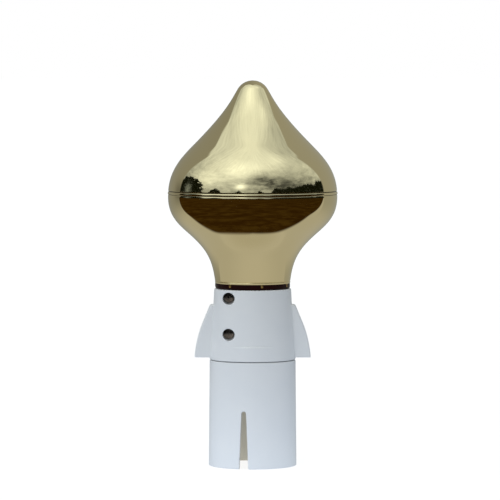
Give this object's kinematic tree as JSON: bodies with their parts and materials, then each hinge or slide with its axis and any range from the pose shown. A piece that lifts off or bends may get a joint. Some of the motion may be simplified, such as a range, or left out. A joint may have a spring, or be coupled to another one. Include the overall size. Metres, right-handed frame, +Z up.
{
  "type": "flagpole truck with onion finial",
  "caption": "Flagpole top: slotted sleeve over the pole, a swivelling halyard head with two hooded rope sheaves, and a hollow gold onion finial.",
  "frame": {"origin": "centre of the sleeve's lower rim, on the pole's axis", "axes": "+Z up along the pole's axis to the finial's tip, +X towards the right halyard hood, -Y the front face with the sleeve's slot"},
  "size_m": [0.1282, 0.1282, 0.2914],
  "materials": {
    "white_plastic": "satin moulded plastic, white",
    "slide_plastic": "natural nylon",
    "steel": "plain stainless",
    "dark_steel": "dull zinc-plated steel",
    "brass": "turned",
    "amber_plastic": "glossy, dark maroon brown",
    "gold_metallised": "mirror-bright metallised gold"
  },
  "bodies": {
    "sleeve": {"pole_sleeve": "white_plastic", "swivel_thrust_washer": "slide_plastic", "swivel_cap_washer": "steel", "swivel_bolt": "steel", "swivel_nut": "steel"},
    "head": {"head_front_shell": "white_plastic", "head_rear_shell": "white_plastic", "front_screw_upper": "dark_steel", "front_screw_lower": "dark_steel", "rear_screw_upper": "dark_steel", "rear_screw_lower": "dark_steel", "left_sheave_bush": "brass", "right_sheave_bush": "brass", "finial_base_plug": "amber_plastic", "finial_bolt": "steel", "finial_washer": "steel", "finial_nut": "steel", "finial_lower_shell": "gold_metallised", "finial_upper_shell": "gold_metallised"},
    "left_sheave": {"left_sheave": "slide_plastic"},
    "right_sheave": {"right_sheave": "slide_plastic"}
  },
  "joints": [
    {"name": "head_swivel", "type": "hinge", "parent": "sleeve", "child": "head", "pos_m": [0, 0, 0.06], "axis": [0, 0, 1], "continuous": true},
    {"name": "left_sheave_spin", "type": "hinge", "parent": "head", "child": "left_sheave", "pos_m": [-0.018, 0, 0.1006], "axis": [0, 1, 0], "continuous": true},
    {"name": "right_sheave_spin", "type": "hinge", "parent": "head", "child": "right_sheave", "pos_m": [0.018, 0, 0.1006], "axis": [0, 1, 0], "continuous": true}
  ]
}
